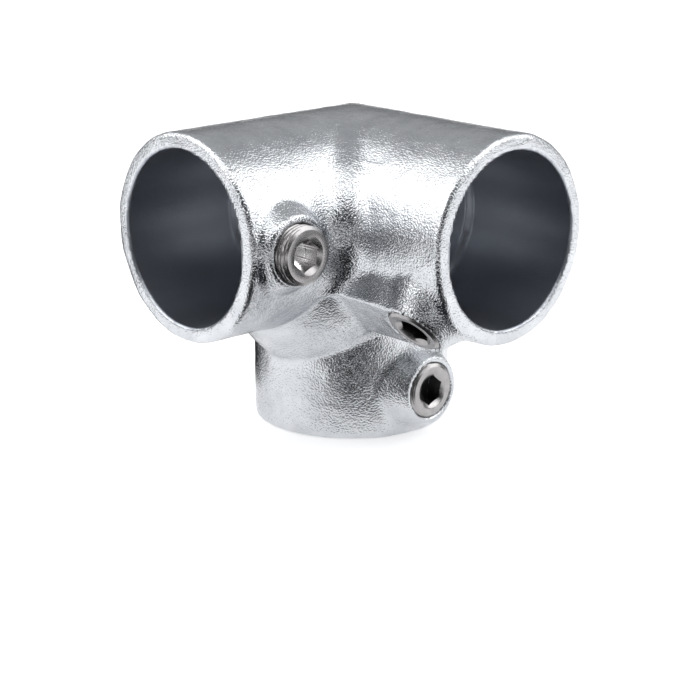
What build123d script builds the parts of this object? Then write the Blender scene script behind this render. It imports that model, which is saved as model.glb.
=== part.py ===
"""Three-way corner clamp for round pipe: one galvanised iron casting and three set screws.

Three equal sockets leave one corner at right angles: one to the right (+X), one to the left (-Y)
and one down (-Z). Each socket has a boss with a set screw that clamps the pipe in it. The form is
worked out about the point where the three socket axes cross, and is then lifted, so that the
origin is the centre of the lower socket's mouth. All lengths are in millimetres.
"""
from build123d import *
from dataclasses import dataclass
from math import cos, radians, sin, sqrt
import os

# Pipe sockets
PIPE_DIAMETER = 48.3
BORE_RADIUS = PIPE_DIAMETER / 2 + 0.75
WALL = 4.7
SOCKET_RADIUS = BORE_RADIUS + WALL
REACH = 64.0  # from the crossing of the axes to each mouth
BORE_DEPTH = 38.5  # from each mouth to the stop that the pipe's end meets
RIM_ROUND = 1.0  # outer edge of each mouth

# Hollow of the corner, past the stops
HOLLOW_RADIUS = 23.2
HOLLOW_EASE = 0.05  # the lower passage is this much smaller, so it never runs tangent to the arms' ones

# Webs under the two arms
LEFT_WEB_LEG = 12.0  # how far the web runs along the arm and down the lower socket
RIGHT_WEB_LEG = 5.0
WEB_INNER_EDGE = 28.0  # its end at the corner, from the arm's axis
WEB_OUTER_EDGE = 14.0  # its end away from the corner

# Pad that joins the right screw's boss to the corner, measured as the boss is
PAD_FACE = 34.3
PAD_HALF_WIDTH = 8.6
PAD_START = 20.0  # along the right arm's axis

# Set screws, 3/8 inch pipe thread, and the holes that they run in
THREAD_RADIUS = 8.25
THREAD_CLEARANCE = 0.05
SCREW_LENGTH = 9.4
SCREW_FACE_RADIUS = 7.0
SCREW_FACE_CHAMFER = 1.0
SCREW_POINT_CHAMFER = 1.0
CUP_RADIUS = 5.4
CUP_DEPTH = 1.8
KEY_ACROSS_FLATS = 8.0
KEY_DEPTH = 5.6
KEY_SINK_RADIUS = 5.5  # countersink round the hexagon socket
KEY_SINK_DEPTH = 0.9
HOLE_COUNTERSINK = 0.4

# Bosses round the screw holes
BOSS_FOOT = 24.0  # where the flared flank starts, from the socket's axis
BOSS_FLARE = 0.54  # growth of the flank's radius with depth
BOSS_EDGE_ROUND = 0.8

SPAN = 4 * REACH  # longer than anything it cuts


@dataclass
class ScrewPlace:
    """A boss and its set screw, measured from the axis of the socket that they are on."""

    name: str
    foot: tuple  # where the screw's axis crosses the socket's axis
    outward: tuple
    boss_face: float
    boss_radius: float
    screw_face: float
    key_turn: float

    def plane(self, height):
        """Return the plane square to the screw, at a height above the socket's axis."""
        foot = Vector(*self.foot)
        outward = Vector(*self.outward)
        across = Vector(1, 0, 0) if abs(self.outward[0]) < 0.5 else Vector(0, 1, 0)
        return Plane(origin=foot + outward * height, x_dir=across, z_dir=outward)


RIGHT_SCREW_DROP = 42.0  # degrees below level
SCREW_PLACES = (
    ScrewPlace("left_set_screw", (0, -50.3, -0.6), (1, 0, 0), 32.8, 9.9, 36.2, 20.0),
    ScrewPlace(
        "right_set_screw",
        (51.5, 0, 0),
        (0, -cos(radians(RIGHT_SCREW_DROP)), -sin(radians(RIGHT_SCREW_DROP))),
        34.6,
        9.4,
        35.0,
        5.0,
    ),
    ScrewPlace("lower_set_screw", (0, 0, -50.0), (1, 0, 0), 34.2, 10.0, 34.4, 20.0),
)


def mitred_arm(radius, reach, edge_round=0.0):
    """Return the right arm, from the mitre plane of the corner to its mouth."""
    length = reach + 2 * radius
    arm = Plane.YZ.offset(reach - length / 2) * Cylinder(radius, length)
    if edge_round:
        arm = fillet(arm.edges().filter_by(GeomType.CIRCLE).sort_by(Axis.X)[-1], edge_round)
    beyond_mitre = Rot(0, 0, 45) * Pos(-SPAN / 2, 0, 0) * Box(SPAN, SPAN, SPAN)
    return arm - beyond_mitre


def across_corner(shape):
    """Return the mirror image of a shape in the mitre plane: right arm to left arm."""
    return shape.mirror(Plane(origin=(0, 0, 0), z_dir=(1, 1, 0)))


def three_sockets(radius, lower_radius, reach, edge_round=0.0):
    """Return the solid body of three round arms that meet at the corner."""
    right_arm = mitred_arm(radius, reach, edge_round)
    lower_arm = Pos(0, 0, -reach / 2) * Cylinder(lower_radius, reach)
    if edge_round:
        lower_arm = fillet(lower_arm.edges().filter_by(GeomType.CIRCLE).sort_by(Axis.Z)[0], edge_round)
    return right_arm + across_corner(right_arm) + lower_arm


def left_web(leg):
    """Return a web of the given leg, in the angle between the left arm and the lower socket.

    Its face slopes at 45 degrees and follows the curve in which the two cylinders meet, so it
    is a strip of an elliptical cylinder.
    """
    rise = leg / sqrt(2)
    slope = Plane(origin=(0, 0, 0), x_dir=(1, 0, 0), z_dir=(0, -1, 1))
    width = WEB_INNER_EDGE + WEB_OUTER_EDGE
    ellipse = Pos(0, -rise) * Ellipse(SOCKET_RADIUS, sqrt(2) * SOCKET_RADIUS)
    strip = Pos((WEB_INNER_EDGE - WEB_OUTER_EDGE) / 2, -SOCKET_RADIUS - WALL) * Rectangle(
        width, 2 * SOCKET_RADIUS - 2 * WALL
    )
    return extrude(slope * (ellipse & strip), rise + WALL / 2, both=True)


def boss(place):
    """Return a boss: a flared cone with a rounded face edge."""
    height = place.boss_face - BOSS_FOOT
    foot_radius = place.boss_radius + BOSS_FLARE * height
    cone = Cone(foot_radius, place.boss_radius, height)
    cone = fillet(cone.edges().sort_by(Axis.Z)[-1], BOSS_EDGE_ROUND)
    return place.plane(BOSS_FOOT + height / 2) * cone


def pad(place):
    """Return the pad of the right boss: a bar with sloping flanks along the right arm."""
    foot_half_width = PAD_HALF_WIDTH + BOSS_FLARE * (PAD_FACE - BOSS_FOOT)
    outline = Polyline(
        (-foot_half_width, BOSS_FOOT),
        (-PAD_HALF_WIDTH, PAD_FACE),
        (PAD_HALF_WIDTH, PAD_FACE),
        (foot_half_width, BOSS_FOOT),
        close=True,
    )
    outward = Vector(*place.outward)
    along = Vector(1, 0, 0)
    section = Plane(origin=along * PAD_START, x_dir=outward.cross(along), z_dir=along)
    bar = extrude(section * make_face(outline), place.foot[0] - PAD_START)
    ridges = bar.edges().filter_by(Axis.X).sort_by(lambda edge: edge.center().dot(outward))[-2:]
    return fillet(ridges, BOSS_EDGE_ROUND)


def screw_hole(place):
    """Return the cutter of a screw hole, with its small countersink."""
    radius = THREAD_RADIUS + THREAD_CLEARANCE
    start = BORE_RADIUS - WALL
    stop = place.boss_face + WALL
    hole = place.plane((start + stop) / 2) * Cylinder(radius, stop - start)
    lip = HOLE_COUNTERSINK
    sink = place.plane(place.boss_face) * Cone(radius - lip, radius + lip, 2 * lip)
    return hole + sink


def casting():
    """Return the cast body: sockets, webs, bosses and pad, with the bores and screw holes cut."""
    body = three_sockets(SOCKET_RADIUS, SOCKET_RADIUS, REACH, RIM_ROUND)
    body += left_web(LEFT_WEB_LEG)
    body += across_corner(left_web(RIGHT_WEB_LEG))
    for place in SCREW_PLACES:
        body += boss(place)
    body += pad(SCREW_PLACES[1])
    mouths = Pos(REACH - SPAN / 2, SPAN / 2 - REACH, SPAN / 2 - REACH) * Box(SPAN, SPAN, SPAN)
    body &= mouths
    body -= three_sockets(HOLLOW_RADIUS, HOLLOW_RADIUS - HOLLOW_EASE, REACH - RIM_ROUND)
    for direction in ((1, 0, 0), (0, -1, 0), (0, 0, -1)):
        middle = Vector(*direction) * (REACH + (RIM_ROUND - BORE_DEPTH) / 2)
        body -= Plane(origin=middle, z_dir=direction) * Cylinder(BORE_RADIUS, BORE_DEPTH + RIM_ROUND)
    for place in SCREW_PLACES:
        body -= screw_hole(place)
    return body


def set_screw(place):
    """Return a set screw: plain thread body, chamfered face, hexagon socket and cup point."""
    taper = SCREW_FACE_CHAMFER
    outline = Polyline(
        (0, 0),
        (SCREW_FACE_RADIUS, 0),
        (THREAD_RADIUS, -taper),
        (THREAD_RADIUS, SCREW_POINT_CHAMFER - SCREW_LENGTH),
        (THREAD_RADIUS - SCREW_POINT_CHAMFER, -SCREW_LENGTH),
        (CUP_RADIUS, -SCREW_LENGTH),
        (0, CUP_DEPTH - SCREW_LENGTH),
        close=True,
    )
    body = revolve(Plane.XZ * make_face(outline), Axis.Z)
    corner_radius = KEY_ACROSS_FLATS / sqrt(3)
    key = extrude(Rot(0, 0, place.key_turn) * RegularPolygon(corner_radius, 6), -KEY_DEPTH)
    inner_radius = KEY_ACROSS_FLATS / 2 - 0.1
    sink = Pos(0, 0, -KEY_SINK_DEPTH / 2) * Cone(inner_radius, KEY_SINK_RADIUS, KEY_SINK_DEPTH)
    return place.plane(place.screw_face) * (body - key - sink)


def write(name, shape):
    """Write one piece, lifted so that the lower mouth is at the origin."""
    export_step(Pos(0, 0, REACH) * shape, os.path.join("parts", name + ".step"))


os.makedirs("parts", exist_ok=True)
write("clamp_body", casting())
for screw_place in SCREW_PLACES:
    write(screw_place.name, set_screw(screw_place))
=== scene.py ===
"""Visual model of a three-way pipe clamp: one galvanised corner casting and its three set screws.

The casting's skin is the zero level of a distance field that joins tubes, a web and bosses with
the soft fillets of a casting. Lengths are in millimetres about the point where the three socket
axes cross, until a mesh is written: meshes are in metres, in the part's own frame.
"""
import logging
from collections.abc import Callable
from dataclasses import dataclass, field
from enum import Enum

import bmesh
import bpy
import numpy as np
from mathutils import Matrix, Vector


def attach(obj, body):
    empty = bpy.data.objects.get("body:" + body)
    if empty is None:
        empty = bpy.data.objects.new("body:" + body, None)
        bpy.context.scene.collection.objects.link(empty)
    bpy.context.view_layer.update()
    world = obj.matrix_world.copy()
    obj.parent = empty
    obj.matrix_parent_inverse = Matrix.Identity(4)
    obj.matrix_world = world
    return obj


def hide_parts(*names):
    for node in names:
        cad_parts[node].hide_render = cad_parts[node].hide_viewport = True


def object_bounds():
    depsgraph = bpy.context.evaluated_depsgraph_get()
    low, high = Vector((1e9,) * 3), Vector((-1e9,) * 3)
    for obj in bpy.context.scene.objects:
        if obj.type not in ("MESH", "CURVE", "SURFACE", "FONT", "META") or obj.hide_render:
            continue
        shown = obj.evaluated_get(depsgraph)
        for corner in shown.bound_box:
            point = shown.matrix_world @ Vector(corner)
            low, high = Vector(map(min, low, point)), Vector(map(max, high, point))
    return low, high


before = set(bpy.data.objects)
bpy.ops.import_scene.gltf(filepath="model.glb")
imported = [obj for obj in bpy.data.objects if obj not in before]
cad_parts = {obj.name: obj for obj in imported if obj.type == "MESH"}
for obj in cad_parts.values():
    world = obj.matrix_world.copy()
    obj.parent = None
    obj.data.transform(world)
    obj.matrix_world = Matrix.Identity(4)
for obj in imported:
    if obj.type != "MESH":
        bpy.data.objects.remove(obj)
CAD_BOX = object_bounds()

LOG = logging.getLogger("clamp")
MM = 0.001
REACH = 64.0  # from the crossing of the axes to each mouth, in mm
TINY = 1e-9  # keeps a division by a length of 0 finite
LEAST_WIDTH = 1e-6  # keeps a division by a blend's width finite

Socket = bpy.types.NodeSocket
Triple = tuple[float, float, float]
Span = tuple[float, float]


class Direction(Enum):
    """The ways that the three sockets open."""

    RIGHT = (1.0, 0.0, 0.0)
    LEFT = (0.0, -1.0, 0.0)
    DOWN = (0.0, 0.0, -1.0)

    @property
    def unit(self) -> np.ndarray:
        """Return the direction as an array of three numbers."""
        return np.array(self.value)


@dataclass(frozen=True)
class Field:
    """A distance field at sampled points: signed distance in mm, and its slope in space."""

    distance: np.ndarray
    slope: np.ndarray

    def flipped(self) -> "Field":
        """Return the field of the space outside."""
        return Field(-self.distance, -self.slope)

    def joined(self, other: "Field", ball: float | np.ndarray) -> "Field":
        """Join two shapes, with the fillet that a ball rolling in their corner would leave.

        The blend's width is four ball radii times one minus the cosine of half the angle
        between the two surfaces, so it dies out where they run tangent.

        Args:
            other: The shape to join.
            ball: The fillet's radius in mm, one number or one for each point.

        Returns:
            The joined shape.
        """
        lengths = np.linalg.norm(self.slope, axis=1) * np.linalg.norm(other.slope, axis=1)
        cosine = np.clip((self.slope * other.slope).sum(1) / lengths, -1, 1)
        width = 4 * ball * (1 - np.sqrt((1 + cosine) / 2)) + LEAST_WIDTH
        share = np.clip(0.5 + 0.5 * (other.distance - self.distance) / width, 0, 1)
        distance = other.distance + (self.distance - other.distance) * share - width * share * (1 - share)
        slope = other.slope + (self.slope - other.slope) * share[:, None]
        return Field(distance, slope)

    def common(self, other: "Field", ball: float | np.ndarray) -> "Field":
        """Return what two shapes share, with the edge between them rounded to a ball's radius."""
        return self.flipped().joined(other.flipped(), ball).flipped()

    def without(self, other: "Field", ball: float) -> "Field":
        """Return this shape with the other cut out, and the new edge rounded."""
        return self.common(other.flipped(), ball)

    def chosen(self, other: "Field", first: np.ndarray) -> "Field":
        """Return this field where the flag is set, and the other elsewhere.

        Args:
            other: The field to take where the flag isn't set.
            first: One flag for each point.

        Returns:
            The field put together from the two.
        """
        return Field(
            np.where(first, self.distance, other.distance),
            np.where(first[:, None], self.slope, other.slope),
        )


def tube(points: np.ndarray, foot: np.ndarray, axis: np.ndarray, radius: float | np.ndarray) -> Field:
    """Return an endless round bar: distance from its axis, less its radius.

    Args:
        points: Places in mm, one row each.
        foot: A point on the bar's axis.
        axis: The axis's unit direction.
        radius: The bar's radius, one number or one for each point.

    Returns:
        The bar's field.
    """
    rest = points - foot
    radial = rest - np.outer(rest @ axis, axis)
    reach = np.linalg.norm(radial, axis=1) + TINY
    return Field(reach - radius, radial / reach[:, None])


def half_space(points: np.ndarray, normal: np.ndarray, offset: float) -> Field:
    """Return the space below a plane: height along the plane's normal, less its offset."""
    return Field(points @ normal - offset, np.broadcast_to(normal, points.shape))


def smooth_step(values: np.ndarray, low: float, high: float) -> np.ndarray:
    """Return 0 below low, 1 above high and a cubic ease between them."""
    ramp = np.clip((values - low) / (high - low), 0, 1)
    return ramp * ramp * (3 - 2 * ramp)


def lattice_noise(points: np.ndarray, cell: float, seed: int, size: int = 64) -> np.ndarray:
    """Return smooth random relief between -1 and 1.

    Random heights stand on a cubic lattice, and a point takes the mean of the eight round it,
    weighted by the cubic ease of its place in the cell.

    Args:
        points: Places in mm, one row each.
        cell: The lattice's spacing in mm.
        seed: Seed of the random heights.
        size: Lattice points each way before the relief repeats.

    Returns:
        One height for each point.
    """
    heights = np.random.default_rng(seed).uniform(-1, 1, (size, size, size))
    place = points / cell + size
    base = np.floor(place).astype(int)
    ease = smooth_step(place - base, 0, 1)
    total = np.zeros(len(points))
    for corner in np.ndindex(2, 2, 2):
        weight = np.prod(np.where(np.array(corner) == 1, ease, 1 - ease), axis=1)
        index = (base + corner) % size
        total += weight * heights[index[:, 0], index[:, 1], index[:, 2]]
    return total


def towards(azimuth: float, elevation: float = 0.0) -> np.ndarray:
    """Return the unit direction of a view, from its azimuth and elevation in degrees."""
    turn, rise = np.radians(azimuth), np.radians(elevation)
    return np.array((np.sin(turn) * np.cos(rise), -np.cos(turn) * np.cos(rise), np.sin(rise)))


def sideways(azimuth: float) -> np.ndarray:
    """Return the level unit direction to the right of a view from this azimuth, in degrees."""
    turn = np.radians(azimuth)
    return np.array((np.cos(turn), np.sin(turn), 0.0))


def to_frame(points_mm: np.ndarray) -> np.ndarray:
    """Return points in metres in the part's frame, whose origin is the lower mouth."""
    return (points_mm + np.array((0, 0, REACH))) * MM


def from_frame(points: np.ndarray) -> np.ndarray:
    """Return points in mm about the crossing of the axes."""
    return points / MM - np.array((0, 0, REACH))


def linked(name: str, data: bpy.types.ID) -> bpy.types.Object:
    """Make an object and link it to the scene.

    Args:
        name: The object's name.
        data: The mesh, light or camera that it holds.

    Returns:
        The new object.
    """
    thing = bpy.data.objects.new(name, data)
    bpy.context.scene.collection.objects.link(thing)
    return thing


def write_mesh(name: str, points: np.ndarray, faces: np.ndarray) -> bpy.types.Object:
    """Make an object from points and faces.

    Args:
        name: The object's name.
        points: One row for each vertex, in metres in the part's frame.
        faces: One row of vertex numbers for each quad.

    Returns:
        The new object, at the origin, with its place in its mesh.
    """
    mesh = bpy.data.meshes.new(name)
    mesh.from_pydata(points, [], faces.tolist())
    mesh.validate()
    return linked(name, mesh)


def write_measure(mesh: bpy.types.Mesh, name: str, values: np.ndarray) -> None:
    """Give a mesh one named number for each vertex, for its material to read."""
    mesh.attributes.new(name, "FLOAT", "POINT").data.foreach_set("value", values.ravel())


def read_points(mesh: bpy.types.Mesh) -> np.ndarray:
    """Read a mesh's vertices.

    Args:
        mesh: The mesh.

    Returns:
        One row of three numbers for each vertex.
    """
    flat = np.empty(len(mesh.vertices) * 3)
    mesh.vertices.foreach_get("co", flat)
    return flat.reshape(-1, 3)


def read_edges(mesh: bpy.types.Mesh) -> np.ndarray:
    """Read a mesh's edges.

    Args:
        mesh: The mesh.

    Returns:
        One row of two vertex numbers for each edge.
    """
    flat = np.empty(len(mesh.edges) * 2, np.int64)
    mesh.edges.foreach_get("vertices", flat)
    return flat.reshape(-1, 2)


def write_points(mesh: bpy.types.Mesh, points: np.ndarray) -> None:
    """Put rows of three numbers into a mesh's vertices."""
    mesh.vertices.foreach_set("co", points.ravel())
    mesh.update()


def apply_modifiers(thing: bpy.types.Object) -> None:
    """Replace an object's mesh by the one that its modifiers make.

    Args:
        thing: The object, which loses its modifiers.
    """
    bpy.context.view_layer.update()
    shown = thing.evaluated_get(bpy.context.evaluated_depsgraph_get())
    mesh = bpy.data.meshes.new_from_object(shown)
    thing.modifiers.clear()
    thing.data = mesh


def grid_faces(rows: int, columns: int, closed: bool) -> np.ndarray:
    """Return the quads of a grid of points that are numbered row by row.

    Args:
        rows: How many rows of points there are.
        columns: How many points a row has.
        closed: Whether the last column is joined to the first.

    Returns:
        One row of four vertex numbers for each quad.
    """
    last = columns if closed else columns - 1
    row, column = np.meshgrid(np.arange(rows - 1), np.arange(last), indexing="ij")
    following = (column + 1) % columns
    corners = (
        row * columns + column,
        row * columns + following,
        (row + 1) * columns + following,
        (row + 1) * columns + column,
    )
    return np.stack([corner.ravel() for corner in corners], 1)


def close_ends(mesh: bpy.types.Mesh) -> None:
    """Fill the two open ends of a grid, and turn its faces outwards.

    Args:
        mesh: The grid's mesh, which is changed in place.
    """
    sheet = bmesh.new()
    sheet.from_mesh(mesh)
    bmesh.ops.holes_fill(sheet, edges=[edge for edge in sheet.edges if edge.is_boundary])
    bmesh.ops.recalc_face_normals(sheet, faces=sheet.faces)
    sheet.to_mesh(mesh)
    sheet.free()


@dataclass(frozen=True)
class ScrewPlace:
    """One set screw and its boss, whose heights are measured from the axis of their socket.

    The foot is where the screw's axis crosses the socket's axis. The boss stands higher than its
    hole by boss_rise. The key socket's walls get painted shade, a black colour, where the screw's
    key shade value is 1, and a painted highlight, near white, where it is 0.
    """

    name: str
    body: str
    node: str
    foot: Triple
    outward: Triple
    boss_face: float
    boss_radius: float
    screw_face: float
    key_turn: float
    # 1 paints shade, a black colour, into the key socket, and 0 paints a near-white highlight
    painted_key_shade: float = 1.0
    boss_rise: float = 0.0

    def basis(self) -> np.ndarray:
        """Work out the screw's own directions.

        Returns:
            Three rows: across, up and outward.
        """
        outward = np.array(self.outward)
        across = np.array((1.0, 0, 0)) if abs(outward[0]) < 0.5 else np.array((0, 1.0, 0))
        return np.array((across, np.cross(outward, across), outward))


RIGHT_SCREW_DROP = np.radians(42.0)  # below level
# The left screw's key socket has a painted highlight, and the other two have painted shade
LEFT_PLACE = ScrewPlace(
    name="left_screw_body", body="left_screw", node="left_set_screw", foot=(0, -50.3, -0.6),
    outward=(1, 0, 0), boss_face=32.8, boss_radius=9.9, screw_face=36.2, key_turn=20.0,
    painted_key_shade=0.0, boss_rise=0.6,
)
RIGHT_PLACE = ScrewPlace(
    name="right_screw_body", body="right_screw", node="right_set_screw", foot=(51.5, 0, 0),
    outward=(0, -np.cos(RIGHT_SCREW_DROP), -np.sin(RIGHT_SCREW_DROP)), boss_face=34.6,
    boss_radius=9.4, screw_face=35.0, key_turn=5.0,
)
LOWER_PLACE = ScrewPlace(
    name="lower_screw_body", body="lower_screw", node="lower_set_screw", foot=(0, 0, -50.0),
    outward=(1, 0, 0), boss_face=34.2, boss_radius=10.0, screw_face=34.4, key_turn=20.0,
)
PLACES = (LEFT_PLACE, RIGHT_PLACE, LOWER_PLACE)


@dataclass
class Casting:
    """The cast body: three sockets, the left arm's web, the right boss's pad and three bosses.

    A name that ends in ball is the radius of the ball that rounds the corner of that place, and
    a span is the two values between which something fades in.
    """

    # Sockets, and the corner where they meet
    bore_radius: float = 24.9
    wall: float = 4.7
    rim_round: float = 1.7
    taper: float = 0.25
    valley_ball: float = 9.0
    ridge_ball: float = 4.0
    crown_ball: float = 14.0
    crown_span: Span = (12.0, 27.0)
    mitre_reach: float = 0.9
    mitre_fade: float = 0.3
    neck_ball: float = 6.0

    # Bores, their stops and the hollow past them
    bore_depth: float = 38.5
    stop_ball: float = 0.4
    hollow_radius: float = 23.2
    hollow_ball: float = 1.5
    hollow_ridge_ball: float = 3.0

    # Web under the left arm
    web_leg: float = 12.0
    web_root: float = 10.0
    web_ball: float = 1.5
    web_lean: float = 1.4
    web_fade: float = 12.0
    web_ends: Span = (-34.0, -4.0)

    # Pad of the right boss
    pad_start: float = 20.0
    pad_face: float = 34.3
    pad_half_width: float = 8.6
    pad_ball: float = 5.0
    pad_span: Span = (32.0, 48.0)

    # Bosses and screw holes
    boss_flare: float = 0.54
    boss_ball: float = 3.2
    boss_edge: float = 0.9
    foot_height: float = 8.0
    hole_radius: float = 8.3
    hole_overlap: float = 5.0
    cut_edge_ball: float = 0.35
    buried_edge_ball: float = 0.5

    # Mesh, and the way that it is moved onto the skin
    voxel: float = 0.88
    quick_factor: float = 1.4
    merge_metres: float = 1e-6
    box_margin: float = 0.01
    outer_from: float = 2.0
    outer_steps: int = 8
    skin_steps: int = 2
    longest_step: float = 1.5
    least_steepness: float = 0.2
    evenings: int = 8
    evening_share: float = 0.5

    # Cast surface: height, lattice spacing and seed of each size of relief
    reliefs: tuple[tuple[float, float, int], ...] = ((0.16, 6.5, 11), (0.07, 2.6, 12), (0.04, 1.3, 13))
    relief_drop: float = 0.2
    relief_span: Span = (0.1, 1.6)
    # Painted shade: the bores' darker colour and their smoother finish fade in over this span, in mm from
    # the hollow
    bore_shade_and_finish_span: Span = (0.15, 0.6)

    @property
    def radius(self) -> float:
        """Outer radius of the sockets."""
        return self.bore_radius + self.wall

    def elbow(
        self,
        points: np.ndarray,
        radius: float,
        valley: float,
        ridge: float | np.ndarray,
        taper: float = 0.0,
    ) -> Field:
        """Return the two level arms, mitred on the plane between them.

        On the side of the corner that the arms face, the shape is the nearer of the two tubes,
        and on the far side the further one. Blending is held to a wedge about the mitre: it ends
        where the distance off the mitre is mitre_reach of that along it, and fades over
        mitre_fade.

        Args:
            points: Places in mm.
            radius: Radius of both tubes.
            valley: Fillet of the inner corner.
            ridge: Rounding of the outer corner.
            taper: How much the radius grows from the mouths to the corner.

        Returns:
            The field of the mitred pair.
        """
        origin = np.zeros(3)
        right, left = (
            tube(points, origin, way.unit, radius + taper * smooth_step(-points @ way.unit, -REACH, 0))
            for way in (Direction.RIGHT, Direction.LEFT)
        )
        side = points[:, 0] - points[:, 1]
        off = np.abs(points[:, 0] + points[:, 1])
        room = self.mitre_fade * np.abs(side) + LEAST_WIDTH
        near = np.clip((self.mitre_reach * np.abs(side) - off) / room, 0, 1)
        return right.joined(left, valley * near).chosen(right.common(left, ridge * near), side > 0)

    def upright(self, points: np.ndarray, radius: float) -> Field:
        """Return the lower socket: a round bar downwards, with a ball on its upper end.

        Args:
            points: Places in mm.
            radius: Radius of the bar and the ball.

        Returns:
            The field of the bar.
        """
        flat = points.copy()
        flat[:, 2] = np.maximum(points[:, 2], 0)
        reach = np.linalg.norm(flat, axis=1) + TINY
        return Field(reach - radius, flat / reach[:, None])

    def web(self, points: np.ndarray) -> Field:
        """Return the web under the left arm.

        Its face lies where the distances from the arm and from the lower socket add up to the
        web's leg, which fades out towards the outer side and away from the corner between them.

        Args:
            points: Places in mm.

        Returns:
            The web's field.
        """
        arm = tube(points, np.zeros(3), Direction.LEFT.unit, self.radius)
        socket = self.upright(points, self.radius)
        along = (points[:, 1] - points[:, 2]) / np.sqrt(2)
        outward = -(points[:, 1] + points[:, 2]) / np.sqrt(2)
        inside = smooth_step(outward - self.web_lean * np.abs(along), 0, self.web_fade)
        leg = self.web_leg * smooth_step(points[:, 0], *self.web_ends) * inside
        slope = arm.slope + socket.slope
        face = Field((arm.distance + socket.distance - leg) / np.sqrt(2), slope / np.sqrt(2))
        root = half_space(points, np.array((0, 1, 1)) / np.sqrt(2), -self.web_root)
        return face.common(root, self.buried_edge_ball)

    def pad(self, points: np.ndarray) -> Field:
        """Return the pad that joins the right boss to the corner: a flat bar with sloping flanks.

        Args:
            points: Places in mm.

        Returns:
            The pad's field.
        """
        across, up, outward = RIGHT_PLACE.basis()
        side = points @ up
        height = points @ outward
        lean = np.hypot(1, self.boss_flare)
        flank = Field(
            (np.abs(side) - self.pad_half_width + self.boss_flare * (height - self.pad_face)) / lean,
            (np.sign(side)[:, None] * up + self.boss_flare * outward) / lean,
        )
        bar = flank.common(half_space(points, outward, self.pad_face), self.boss_edge)
        ends = half_space(points, across, RIGHT_PLACE.foot[0])
        ends = ends.common(half_space(points, -across, -self.pad_start), self.buried_edge_ball)
        foot = half_space(points, -outward, -self.foot_height)
        return bar.common(ends, self.buried_edge_ball).common(foot, self.buried_edge_ball)

    def boss(self, points: np.ndarray, place: ScrewPlace) -> Field:
        """Return a boss: a cone that flares towards the socket, under a flat face.

        Args:
            points: Places in mm.
            place: The boss's place and size.

        Returns:
            The boss's field.
        """
        outward = np.array(place.outward)
        rest = points - np.array(place.foot) - np.array((0, 0, place.boss_rise))
        height = rest @ outward
        radial = rest - np.outer(height, outward)
        reach = np.linalg.norm(radial, axis=1) + TINY
        lean = np.hypot(1, self.boss_flare)
        flank = Field(
            (reach - place.boss_radius + self.boss_flare * (height - place.boss_face)) / lean,
            (radial / reach[:, None] + self.boss_flare * outward) / lean,
        )
        face = Field(height - place.boss_face, np.broadcast_to(outward, points.shape))
        foot = Field(self.foot_height - height, np.broadcast_to(-outward, points.shape))
        return flank.common(face, self.boss_edge).common(foot, self.buried_edge_ball)

    def outside(self, points: np.ndarray) -> Field:
        """Return the outer form, cut at the mouths, with no bores or holes.

        The ridge between the arms is rounded by crown_ball more at the top of crown_span than
        below it. The pad's fillet narrows to the boss's own over pad_span.

        Args:
            points: Places in mm.

        Returns:
            The field of the outer form.
        """
        ridge = self.ridge_ball + self.crown_ball * smooth_step(points[:, 2], *self.crown_span)
        body = self.elbow(points, self.radius, self.valley_ball, ridge, self.taper)
        body = body.joined(self.upright(points, self.radius), self.neck_ball)
        body = body.joined(self.web(points), self.web_ball)
        nearing = smooth_step(points[:, 0], *self.pad_span)
        body = body.joined(self.pad(points), self.pad_ball + (self.boss_ball - self.pad_ball) * nearing)
        for place in PLACES:
            body = body.joined(self.boss(points, place), self.boss_ball)
        for way in Direction:
            body = body.common(half_space(points, way.unit, REACH), self.rim_round)
        return body

    def skin(self, points: np.ndarray) -> Field:
        """Return the whole casting: the outer form less the bores and the screw holes.

        Args:
            points: Places in mm.

        Returns:
            The casting's field.
        """
        body = self.outside(points).without(self.hollow(points), self.cut_edge_ball)
        for place in PLACES:
            body = body.without(self.hole(points, place), self.cut_edge_ball)
        return body

    def hollow(self, points: np.ndarray) -> Field:
        """Return the three bores down to their stops, and the narrower hollow of the corner.

        Args:
            points: Places in mm.

        Returns:
            The field of the empty space.
        """
        space = self.elbow(points, self.hollow_radius, self.hollow_ball, self.hollow_ridge_ball)
        space = space.joined(self.upright(points, self.hollow_radius), self.hollow_ball)
        for way in Direction:
            bore = tube(points, np.zeros(3), way.unit, self.bore_radius)
            stop = half_space(points, -way.unit, self.bore_depth - REACH)
            space = space.joined(bore.common(stop, self.stop_ball), self.stop_ball)
        return space

    def hole(self, points: np.ndarray, place: ScrewPlace) -> Field:
        """Return one screw hole: a round bar that starts inside the bore.

        Args:
            points: Places in mm.
            place: The screw's place.

        Returns:
            The hole's field.
        """
        outward = np.array(place.outward)
        bar = tube(points, np.array(place.foot), outward, self.hole_radius)
        start = half_space(points, -outward, self.hole_overlap - self.bore_radius)
        return bar.common(start, self.buried_edge_ball)

    def rough_mesh(self) -> bpy.types.Object:
        """Return an even mesh of small squares, close to the skin, from the solid's own surface.

        Returns:
            The casting's object, before its points are moved onto the skin.
        """
        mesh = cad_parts["clamp_body"].data.copy()
        sheet = bmesh.new()
        sheet.from_mesh(mesh)
        bmesh.ops.remove_doubles(sheet, verts=sheet.verts, dist=self.merge_metres)
        sheet.to_mesh(mesh)
        sheet.free()
        thing = linked("clamp_casting", mesh)
        remesh = thing.modifiers.new("squares", "REMESH")
        remesh.mode = "VOXEL"
        remesh.voxel_size = self.voxel * MM * 1.0
        apply_modifiers(thing)
        return thing

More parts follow.
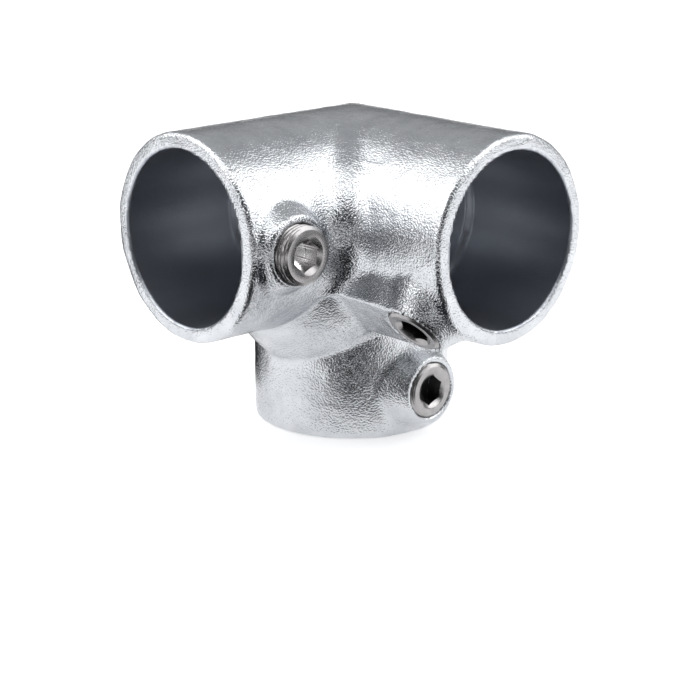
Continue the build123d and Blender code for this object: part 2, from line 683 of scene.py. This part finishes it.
    def settle(self, mesh: bpy.types.Mesh) -> None:
        """Move the mesh onto the skin, evening it out, and give it the casting's unevenness.

        Points that are clear of the bores and holes go to the outer form first, so that none of
        them is drawn to a bore's wall. The bores are marked for the material in the end, which
        paints shade into them as a darker colour, and gives them a smoother, less shiny finish.

        Args:
            mesh: The casting's rough mesh, which is changed in place.
        """
        points = from_frame(read_points(mesh))
        ends = read_edges(mesh)
        outer = self.clearances(points).min(0) > self.outer_from
        points[outer] = self.moved_onto(self.outside, points[outer], self.outer_steps)
        points = self.moved_onto(self.skin, points, self.skin_steps)
        for _ in range(self.evenings):
            points = self.moved_onto(self.skin, self.evened(points, ends), self.skin_steps)
        points += self.unevenness(points)
        low, high = (from_frame(np.array(corner)) for corner in CAD_BOX)
        points = np.clip(points, low + self.box_margin, high - self.box_margin)
        write_points(mesh, to_frame(points))
        # Mask of the bores: the material paints shade there as a darker colour, and makes the zinc
        # smoother and duller
        write_measure(mesh, "inside", 1 - smooth_step(self.hollow(points).distance, *self.bore_shade_and_finish_span))

    def clearances(self, points: np.ndarray) -> np.ndarray:
        """Return how far points are from the hollow and from each screw hole, one row for each."""
        holes = [self.hole(points, place).distance for place in PLACES]
        return np.stack([self.hollow(points).distance, *holes])

    def moved_onto(
        self, form: Callable[[np.ndarray], Field], points: np.ndarray, steps: int
    ) -> np.ndarray:
        """Move points down a form's slope to its zero level, by a short step at a time.

        Args:
            form: One of this casting's forms.
            points: Places in mm.
            steps: How many steps to take.

        Returns:
            The new places.
        """
        for _ in range(steps):
            near = form(points)
            steep = np.maximum((near.slope**2).sum(1), self.least_steepness)
            shift = np.clip(near.distance / steep, -self.longest_step, self.longest_step)
            points = points - near.slope * shift[:, None]
        return points

    def normals(self, points: np.ndarray) -> np.ndarray:
        """Return the skin's outward unit directions."""
        slope = self.skin(points).slope
        return slope / (np.linalg.norm(slope, axis=1)[:, None] + TINY)

    def evened(self, points: np.ndarray, ends: np.ndarray) -> np.ndarray:
        """Move each point half way to the mean of its neighbours, along the surface only.

        Args:
            points: Places in mm.
            ends: One row of two point numbers for each edge.

        Returns:
            The new places.
        """
        normal = self.normals(points)
        own, other = np.concatenate((ends, ends[:, ::-1])).T
        count = np.bincount(own, minlength=len(points))
        sums = [np.bincount(own, points[other, axis], len(points)) for axis in range(3)]
        mean = np.stack([total / count for total in sums], 1)
        step = (mean - points) * self.evening_share
        step -= normal * (step * normal).sum(1)[:, None]
        return points + step

    def unevenness(self, points: np.ndarray) -> np.ndarray:
        """Return the small inward shifts of a cast and dipped surface.

        Three sizes of random relief are added, and they fade out in the bores and screw holes.

        Args:
            points: Places in mm.

        Returns:
            One shift for each point, in mm.
        """
        clear = np.abs(self.clearances(points)).min(0)
        relief = sum(height * lattice_noise(points, cell, seed) for height, cell, seed in self.reliefs)
        height = (relief - self.relief_drop) * smooth_step(clear, *self.relief_span)
        return self.normals(points) * height[:, None]

    def build(self) -> bpy.types.Object:
        """Build the casting's mesh.

        Returns:
            The casting's object.
        """
        thing = self.rough_mesh()
        self.settle(thing.data)
        thing.data.shade_smooth()
        return thing


@dataclass
class SetScrew:
    """A set screw: pipe thread, chamfered face, hexagon socket and cup point."""

    place: ScrewPlace

    # Thread: its crest and root are given as shares of half the pitch
    thread_radius: float = 8.1
    thread_depth: float = 0.75
    crest_share: float = 0.3
    root_share: float = 0.9
    pitch: float = 1.337
    length: float = 9.4

    # Ends
    face_radius: float = 7.15
    face_chamfer: float = 0.55
    point_chamfer: float = 1.0
    cup_radius: float = 5.4
    cup_depth: float = 1.8

    # Key socket and its countersink
    key_flats: float = 8.0
    key_depth: float = 5.6
    sink_radius: float = 5.5
    sink_slope: float = 0.5774
    sink_drop: float = 0.03

    # Mesh: how near the rings beside an edge lie to it, and the radius of the end rings
    near_edge: float = 0.05
    by_edge: float = 0.1
    centre: float = 1e-3
    around: int = 144
    rows_per_turn: int = 18
    sharp_angle: float = 24.0

    def turns(self) -> np.ndarray:
        """Return the angles of a ring's points, in radians, starting at a corner of the key."""
        return np.radians(self.place.key_turn) + np.arange(self.around) * 2 * np.pi / self.around

    def thread(self, turn: np.ndarray, depth: float) -> np.ndarray:
        """Return the thread's radius.

        It follows a saw with flat crests and narrow roots, whose phase is the depth in pitches
        plus the turn in whole turns, and it ends in the chamfers at both ends.

        Args:
            turn: Angles round the screw, in radians.
            depth: Depth below the face, in mm.

        Returns:
            The radius at each angle.
        """
        phase = (depth / self.pitch + turn / (2 * np.pi)) % 1.0
        flank = (np.abs(2 * phase - 1) - self.crest_share) / (self.root_share - self.crest_share)
        radius = self.thread_radius - self.thread_depth * np.clip(flank, 0, 1)
        slope = (self.thread_radius - self.face_radius) / self.face_chamfer
        front = self.face_radius + depth * slope
        back = self.thread_radius - self.point_chamfer + (self.length - depth)
        return np.minimum(radius, np.minimum(front, back))

    def hexagon(self, turn: np.ndarray) -> np.ndarray:
        """Return the key's radius: half its flats over the cosine of the angle from a flat."""
        from_flat = (turn - np.radians(self.place.key_turn)) % (np.pi / 3) - np.pi / 6
        return self.key_flats / 2 / np.cos(from_flat)

    def rings(self) -> tuple[np.ndarray, np.ndarray, np.ndarray]:
        """Return the rings of points that make the screw, from the cup's centre to the key's floor.

        Returns:
            Three grids, one row for each ring and one column for each angle: radius, depth
            below the face, and 1 where a ring belongs to the key socket's floor.
        """
        turn = self.turns()
        lip = self.hexagon(turn)
        sink = (self.sink_radius - lip) * self.sink_slope
        cup = [
            (self.centre, self.length - self.cup_depth),
            (self.cup_radius / 2, self.length - self.cup_depth / 2),
            (self.cup_radius, self.length),
            (self.cup_radius + self.near_edge, self.length),
        ]
        rows = int(self.length / self.pitch * self.rows_per_turn)
        depths = self.length * (1 - np.linspace(0, 1, rows))
        thread = [(self.thread(turn, depth), depth) for depth in depths]
        face = [
            (self.face_radius - self.by_edge, 0.0),
            (self.sink_radius + self.by_edge, 0.0),
            (self.sink_radius, self.sink_drop),
            (lip + self.near_edge, sink),
            (lip, sink + self.near_edge),
        ]
        key = [
            (lip, self.key_depth - self.by_edge),
            (lip - self.by_edge, self.key_depth),
            (lip / 2, self.key_depth),
            (self.centre, self.key_depth),
        ]
        plan = cup + thread + face + key
        radius = np.array([np.broadcast_to(ring, turn.shape) for ring, _ in plan])
        depth = np.array([np.broadcast_to(ring, turn.shape) for _, ring in plan])
        in_key = np.zeros_like(radius)
        in_key[-len(key):] = 1.0
        return radius, depth, in_key

    def build(self) -> bpy.types.Object:
        """Build the screw's closed mesh.

        A ring's point is the foot, plus its radius times the cosine and sine of its angle across
        and up, plus its height outwards.

        Returns:
            The screw's object.
        """
        radius, depth, in_key = self.rings()
        turn = self.turns()
        across, up, outward = self.place.basis()
        points = (
            np.array(self.place.foot)
            + (radius * np.cos(turn))[..., None] * across
            + (radius * np.sin(turn))[..., None] * up
            + (self.place.screw_face - depth)[..., None] * outward
        )
        faces = grid_faces(*radius.shape, closed=True)
        thing = write_mesh(self.place.name, to_frame(points.reshape(-1, 3)), faces)
        close_ends(thing.data)
        write_measure(thing.data, "ring", radius)
        write_measure(thing.data, "in_key", in_key)
        # Painted shade or painted highlight for the key socket, as the screw's place gives
        write_measure(thing.data, "painted_key_shade", np.full_like(radius, self.place.painted_key_shade))
        thing.data.shade_smooth()
        thing.data.set_sharp_from_angle(angle=np.radians(self.sharp_angle))
        return thing


@dataclass
class NodeSheet:
    """The node tree of a material or of the world, with short calls to add nodes and join them."""

    owner: bpy.types.Material | bpy.types.World
    shader_kind: str = "BsdfPrincipled"
    output_kind: str = "OutputMaterial"
    tree: bpy.types.NodeTree = field(init=False)
    shader: bpy.types.Node = field(init=False)

    def __post_init__(self) -> None:
        """Clear the tree, and add the shader and the output."""
        self.owner.use_nodes = True
        self.tree = self.owner.node_tree
        self.tree.nodes.clear()
        self.shader = self.add(self.shader_kind)
        self.add(self.output_kind, Surface=self.shader.outputs[0])

    def give(self, socket: Socket, value: object) -> None:
        """Join an output to an input socket, or set the input's own value.

        Args:
            socket: The input.
            value: An output socket to join, or a value to set.
        """
        if isinstance(value, Socket):
            self.tree.links.new(value, socket)
        else:
            socket.default_value = value

    def fill(self, node: bpy.types.Node, **inputs: object) -> None:
        """Set or join a node's inputs by their names, with _ for each blank."""
        for name, value in inputs.items():
            self.give(node.inputs[name.replace("_", " ")], value)

    def add(self, kind: str, **inputs: object) -> bpy.types.Node:
        """Add a node, and set or join its inputs by their names.

        Args:
            kind: The node's type, without its leading ShaderNode.
            **inputs: A value or an output socket for each input, with _ for each blank.

        Returns:
            The node.
        """
        node = self.tree.nodes.new("ShaderNode" + kind)
        self.fill(node, **inputs)
        return node

    def calculate(self, kind: str, operation: str, first: object, second: object) -> Socket:
        """Work out a number from two values, such as the larger one or their product.

        Args:
            kind: Math, or VectorMath.
            operation: The node's operation.
            first: A value or an output socket.
            second: A value or an output socket.

        Returns:
            The number's socket.
        """
        node = self.add(kind)
        node.operation = operation
        self.give(node.inputs[0], first)
        self.give(node.inputs[1], second)
        return node.outputs["Value"]

    def ramp(
        self, value: Socket, span: Span, start: float | Socket, stop: float, eased: bool = False
    ) -> Socket:
        """Return a ramp between two numbers over a span of values.

        Args:
            value: What the ramp follows.
            span: The values of its two ends.
            start: The number at the first end, or its socket.
            stop: The number at the second end.
            eased: Whether it is a smooth step, and not straight.

        Returns:
            The number's socket.
        """
        low, high = span
        node = self.add("MapRange", Value=value, From_Min=low, From_Max=high, To_Min=start, To_Max=stop)
        node.interpolation_type = "SMOOTHSTEP" if eased else "LINEAR"
        return node.outputs["Result"]

    def tint(self, value: Socket, span: Span, start: Triple, stop: Triple) -> Socket:
        """Return a ramp between two colours over a span of values.

        Args:
            value: What the ramp follows.
            span: The values of its two ends.
            start: The colour up to the span.
            stop: The colour past it.

        Returns:
            The colour's socket.
        """
        node = self.add("ValToRGB", Fac=value)
        first, last = node.color_ramp.elements
        first.position, last.position = span
        first.color, last.color = (*start, 1.0), (*stop, 1.0)
        return node.outputs["Color"]

    def measure(self, name: str) -> Socket:
        """Read a number that the mesh holds for each vertex.

        Args:
            name: The number's name.

        Returns:
            The number's socket.
        """
        node = self.add("Attribute")
        node.attribute_name = name
        return node.outputs["Fac"]

    def cloud(self, scale: float, detail: float) -> Socket:
        """Return random clouds that are fixed to the object's own coordinates."""
        place = self.add("TexCoord").outputs["Object"]
        return self.add("TexNoise", Vector=place, Scale=scale, Detail=detail).outputs["Fac"]


WHOLE: Span = (0.0, 1.0)


@dataclass(frozen=True)
class GalvanisedZinc:
    """Hot-dip galvanised cast iron: bright grey zinc with a fine, dense orange-peel grain.

    Heights of the grain are in metres, and scales are in waves to the metre. The bores have
    painted shade, a darker colour for the shade inside them, and are smoother and less shiny.
    """

    dull: Triple = (0.60, 0.615, 0.64)
    bright: Triple = (0.71, 0.725, 0.745)
    patch_scale: float = 120.0
    patch_detail: float = 4.0
    patch_span: Span = (0.35, 0.65)
    smooth: float = 0.10
    rough: float = 0.18
    wear_scale: float = 260.0
    wear_detail: float = 2.0
    wear_span: Span = (0.3, 0.7)
    # Painted shade: this darker colour of the bores stands for the shade inside them
    bore: Triple = (0.36, 0.38, 0.42)
    bore_roughness: float = 0.42
    grain_scale: float = 1900.0
    grain_detail: float = 1.5
    grain_softness: float = 0.45
    grain_height: float = 0.00021
    fine_scale: float = 3200.0
    fine_detail: float = 1.0
    fine_height: float = 0.00005
    bore_grain: float = 0.12

    def material(self) -> bpy.types.Material:
        """Make the material.

        Returns:
            The material.
        """
        sheet = NodeSheet(bpy.data.materials.new("galvanised_zinc"))
        bore_shade_and_finish = sheet.measure("inside")
        patches = sheet.cloud(self.patch_scale, self.patch_detail)
        zinc = sheet.tint(patches, self.patch_span, self.dull, self.bright)
        wear = sheet.cloud(self.wear_scale, self.wear_detail)
        sheen = sheet.ramp(wear, self.wear_span, self.smooth, self.rough)
        grain = sheet.cloud(self.grain_scale, self.grain_detail)
        sheet.fill(grain.node, Roughness=self.grain_softness)
        fine = sheet.cloud(self.fine_scale, self.fine_detail)
        # Painted shade: the bores take the darker colour
        colour = sheet.add("MixRGB", Fac=bore_shade_and_finish, Color1=zinc, Color2=(*self.bore, 1.0))
        strength = sheet.ramp(bore_shade_and_finish, WHOLE, 1.0, self.bore_grain)
        first = sheet.add("Bump", Height=fine, Distance=self.fine_height, Strength=strength)
        second = sheet.add("Bump", Height=grain, Distance=self.grain_height, Strength=strength)
        sheet.fill(second, Normal=first.outputs["Normal"])
        sheet.fill(
            sheet.shader,
            Base_Color=colour.outputs["Color"],
            Metallic=1.0,
            Roughness=sheet.ramp(bore_shade_and_finish, WHOLE, sheen, self.bore_roughness),
            Normal=second.outputs["Normal"],
        )
        return sheet.owner


@dataclass(frozen=True)
class TurnedSteel:
    """Machined steel of the set screws: warm grey, with fine turning rings.

    The key socket's floor and walls get a painted highlight, near white, or painted shade, black,
    as each screw's own measure says.
    """

    colour: Triple = (0.37, 0.36, 0.36)
    pale: Triple = (0.47, 0.455, 0.455)
    cloud_scale: float = 400.0
    cloud_detail: float = 3.0
    cloud_span: Span = (0.3, 0.7)
    # Painted light in the key socket: a near-white highlight, and black for shade
    painted_key_highlight: Triple = (0.95, 0.94, 0.94)
    black: Triple = (0.09, 0.09, 0.095)
    roughness: float = 0.26
    key_roughness: float = 0.08
    ring_scale: float = 4.0
    ring_height: float = 0.00003
    ring_strength: float = 0.6

    def material(self) -> bpy.types.Material:
        """Make the material.

        Returns:
            The material.
        """
        sheet = NodeSheet(bpy.data.materials.new("turned_steel"))
        in_key = sheet.measure("in_key")
        steel = sheet.tint(
            sheet.cloud(self.cloud_scale, self.cloud_detail), self.cloud_span, self.colour, self.pale
        )
        # Painted highlight or painted shade in the key socket, as the screw's measure says
        dark = sheet.tint(sheet.measure("painted_key_shade"), WHOLE, self.painted_key_highlight, self.black)
        rings = sheet.add("TexNoise", Scale=self.ring_scale)
        rings.noise_dimensions = "1D"
        sheet.fill(rings, W=sheet.measure("ring"))
        bump = sheet.add(
            "Bump", Height=rings.outputs["Fac"], Distance=self.ring_height, Strength=self.ring_strength
        )
        sheet.fill(
            sheet.shader,
            Base_Color=sheet.add("MixRGB", Fac=in_key, Color1=steel, Color2=dark).outputs["Color"],
            Metallic=1.0,
            Roughness=sheet.ramp(in_key, WHOLE, self.roughness, self.key_roughness),
            Normal=bump.outputs["Normal"],
        )
        return sheet.owner


@dataclass(frozen=True)
class PaleFloor:
    """A matt pale floor, which glows a little for the camera and in reflections only.

    So it looks white and keeps the clamp's shadow.
    """

    colour: Triple = (0.80, 0.80, 0.81)
    roughness: float = 0.9
    seen: float = 0.52
    mirrored: float = 0.46

    def material(self) -> bpy.types.Material:
        """Make the material.

        Returns:
            The material.
        """
        sheet = NodeSheet(bpy.data.materials.new("pale_floor"))
        path = sheet.add("LightPath")
        seen = sheet.ramp(path.outputs["Is Camera Ray"], WHOLE, 0.0, self.seen)
        mirrored = sheet.ramp(path.outputs["Is Glossy Ray"], WHOLE, 0.0, self.mirrored)
        sheet.fill(
            sheet.shader,
            Base_Color=(*self.colour, 1.0),
            Roughness=self.roughness,
            Specular_IOR_Level=0.0,
            Emission_Color=(1.0, 1.0, 1.0, 1.0),
            Emission_Strength=sheet.calculate("Math", "MAXIMUM", seen, mirrored),
        )
        return sheet.owner


@dataclass(frozen=True)
class DarkCard:
    """Matt black card, as solid as the mesh's own measure says."""

    colour: Triple = (0.02, 0.02, 0.022)

    def material(self) -> bpy.types.Material:
        """Make the material.

        Returns:
            The material.
        """
        sheet = NodeSheet(bpy.data.materials.new("dark_card"))
        sheet.fill(
            sheet.shader,
            Base_Color=(*self.colour, 1.0),
            Roughness=1.0,
            Specular_IOR_Level=0.0,
            Alpha=sheet.measure("dark"),
        )
        return sheet.owner


def dress(thing: bpy.types.Object, material: bpy.types.Material) -> None:
    """Give an object one material."""
    thing.data.materials.clear()
    thing.data.materials.append(material)


@dataclass(frozen=True)
class Fan:
    """A dark card's place: a fan that widens away from the clamp, in metres and degrees.

    It starts and ends at distances from the clamp's foot. Its darkness comes in and goes out at
    shares of its length, and softens from a share of its half width.
    """

    name: str
    azimuth: float
    start: float
    end: float
    half_width: float
    spread: float
    ease_in: float
    ease_out: float
    soft_from: float = 0.4


@dataclass(frozen=True)
class SoftBox:
    """A soft box's place and size, in degrees and metres, and how bright its face looks."""

    name: str
    azimuth: float
    elevation: float
    distance: float
    width: float
    height: float
    glow: float


FRONT_CARD = Fan(
    name="front_card", azimuth=50.0, start=0.044, end=0.46, half_width=0.029, spread=0.9,
    ease_in=0.015, ease_out=0.3, soft_from=0.68,
)
LEFT_CARD = Fan(
    name="left_card", azimuth=11.0, start=0.15, end=0.45, half_width=0.035, spread=0.12,
    ease_in=0.2, ease_out=0.6,
)
RIGHT_CARD = Fan(
    name="right_card", azimuth=77.5, start=0.072, end=0.122, half_width=0.017, spread=0.1,
    ease_in=0.3, ease_out=0.6,
)
BACK_CARD = Fan(
    name="back_card", azimuth=-96.0, start=0.034, end=0.60, half_width=0.034, spread=0.9,
    ease_in=0.03, ease_out=0.6, soft_from=0.62,
)
FANS = (FRONT_CARD, LEFT_CARD, RIGHT_CARD, BACK_CARD)
BOXES = (
    SoftBox("right_box", azimuth=133.0, elevation=36.0, distance=1.3, width=1.5, height=1.1, glow=1.9),
    SoftBox("left_box", azimuth=-40.0, elevation=36.0, distance=1.3, width=1.5, height=1.1, glow=1.9),
    SoftBox("front_box", azimuth=46.0, elevation=66.0, distance=1.5, width=1.4, height=0.7, glow=1.7),
)


@dataclass
class Studio:
    """A pale floor with dark cards on it, soft boxes on both sides and above, and a grey room.

    Only reflections show the cards: they give the zinc its dark patches.
    """

    floor_size: float = 12.0
    card_lift: float = 0.0004
    card_columns: int = 17
    card_rows: int = 25

    # Room: its glow near the floor and above, and how much darker it is behind the camera
    room_tint: Triple = (0.96, 0.98, 1.0)
    room_low: float = 0.14
    room_high: float = 0.46
    room_rise: Span = (0.05, 0.35)
    front_azimuth: float = 46.5
    front_shade: float = 0.16
    front_span: Span = (0.55, 0.8)

    def floor(self) -> None:
        """Lay the floor at the height of the lower mouth."""
        half = self.floor_size / 2
        corners = np.array([(-half, -half, 0), (half, -half, 0), (half, half, 0), (-half, half, 0)])
        thing = write_mesh("floor", corners, np.array([(0, 1, 2, 3)]))
        dress(thing, PaleFloor().material())

    def card(self, fan: Fan, material: bpy.types.Material) -> None:
        """Lay a dark, soft-edged card on the floor, where only reflections show it.

        It is a grid of two parameters: u across from -1 to 1, and v outwards from 0 to 1. Its
        darkness eases out towards all four edges.

        Args:
            fan: The card's place and size.
            material: The dark card.
        """
        u, v = np.meshgrid(np.linspace(-1, 1, self.card_columns), np.linspace(0, 1, self.card_rows))
        along = fan.start + (fan.end - fan.start) * v
        across = u * (fan.half_width + fan.spread * (along - fan.start))
        points = (
            along[..., None] * towards(fan.azimuth)
            + across[..., None] * sideways(fan.azimuth)
            + np.array((0, 0, self.card_lift))
        )
        thing = write_mesh(fan.name, points.reshape(-1, 3), grid_faces(*u.shape, closed=False))
        dark = 1 - smooth_step(np.abs(u), fan.soft_from, 1.0)
        dark = dark * smooth_step(v, 0.0, fan.ease_in) * (1 - smooth_step(v, fan.ease_out, 1.0))
        write_measure(thing.data, "dark", dark)
        dress(thing, material)
        thing.visible_camera = False
        thing.visible_diffuse = False
        thing.visible_shadow = False

    def room(self) -> None:
        """Shade the room: dark near the floor, grey above, and darker behind the camera."""
        world = bpy.data.worlds.new("studio")
        bpy.context.scene.world = world
        sheet = NodeSheet(world, "Background", "OutputWorld")
        way = sheet.add("TexCoord").outputs["Generated"]
        height = sheet.add("SeparateXYZ", Vector=way).outputs["Z"]
        glow = sheet.ramp(height, self.room_rise, self.room_low, self.room_high, eased=True)
        ahead = sheet.calculate("VectorMath", "DOT_PRODUCT", way, tuple(towards(self.front_azimuth)))
        shade = sheet.ramp(ahead, self.front_span, 1.0, self.front_shade, eased=True)
        strength = sheet.calculate("Math", "MULTIPLY", glow, shade)
        sheet.fill(sheet.shader, Color=(*self.room_tint, 1.0), Strength=strength)

    def hang(self, box: SoftBox) -> None:
        """Hang a soft box that faces the clamp, and that the camera doesn't see.

        Args:
            box: Its place, size and brightness.
        """
        light = bpy.data.lights.new(box.name, "AREA")
        light.shape = "RECTANGLE"
        light.size, light.size_y = box.width, box.height
        light.energy = box.glow * np.pi * box.width * box.height
        thing = linked(box.name, light)
        way = Vector(towards(box.azimuth, box.elevation))
        middle = Vector((0, 0, REACH * MM))
        turned = way.to_track_quat("Z", "Y").to_matrix().to_4x4()
        thing.matrix_world = Matrix.Translation(middle + way * box.distance) @ turned
        thing.visible_camera = False

    def build(self) -> None:
        """Set up the floor, its cards, the room and the soft boxes."""
        self.floor()
        black = DarkCard().material()
        for fan in FANS:
            self.card(fan, black)
        self.room()
        for box in BOXES:
            self.hang(box)


@dataclass
class PhotoCamera:
    """The camera at the photograph's viewing angle, its place found about the axes' crossing.

    Its focal length is given in pixels of the photograph's frame, and its shifts in mm.
    """

    azimuth: float = 46.47
    elevation: float = 17.11
    distance: float = 534.89
    shift_right: float = -0.41
    shift_up: float = -43.25
    focal_pixels: float = 1800.0
    frame_pixels: float = 700.0
    sensor: float = 36.0

    def build(self) -> None:
        """Make the camera and give it to the scene."""
        back = towards(self.azimuth, self.elevation)
        right = sideways(self.azimuth)
        up = np.cross(back, right)
        place = back * self.distance + right * self.shift_right + up * self.shift_up
        data = bpy.data.cameras.new("camera")
        data.lens = self.focal_pixels / self.frame_pixels * self.sensor
        data.sensor_width = self.sensor
        thing = linked("camera", data)
        turned = Matrix((right, up, back)).transposed().to_4x4()
        thing.matrix_world = Matrix.Translation(to_frame(place)) @ turned
        bpy.context.scene.camera = thing


def main() -> None:
    """Build the studio, the camera, the casting and the screws, and dress them."""
    logging.basicConfig(level=logging.INFO, format="%(name)s: %(message)s")
    scene = bpy.context.scene
    scene.view_settings.view_transform = "Standard"
    PhotoCamera().build()
    Studio().build()
    casting = Casting().build()
    dress(casting, GalvanisedZinc().material())
    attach(casting, "casting")
    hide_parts("clamp_body")
    LOG.info("casting: %d faces", len(casting.data.polygons))
    steel = TurnedSteel().material()
    for place in PLACES:
        screw = SetScrew(place).build()
        dress(screw, steel)
        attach(screw, place.body)
        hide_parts(place.node)
        LOG.info("%s: %d faces", place.name, len(screw.data.polygons))


if __name__ == "__main__":
    main()
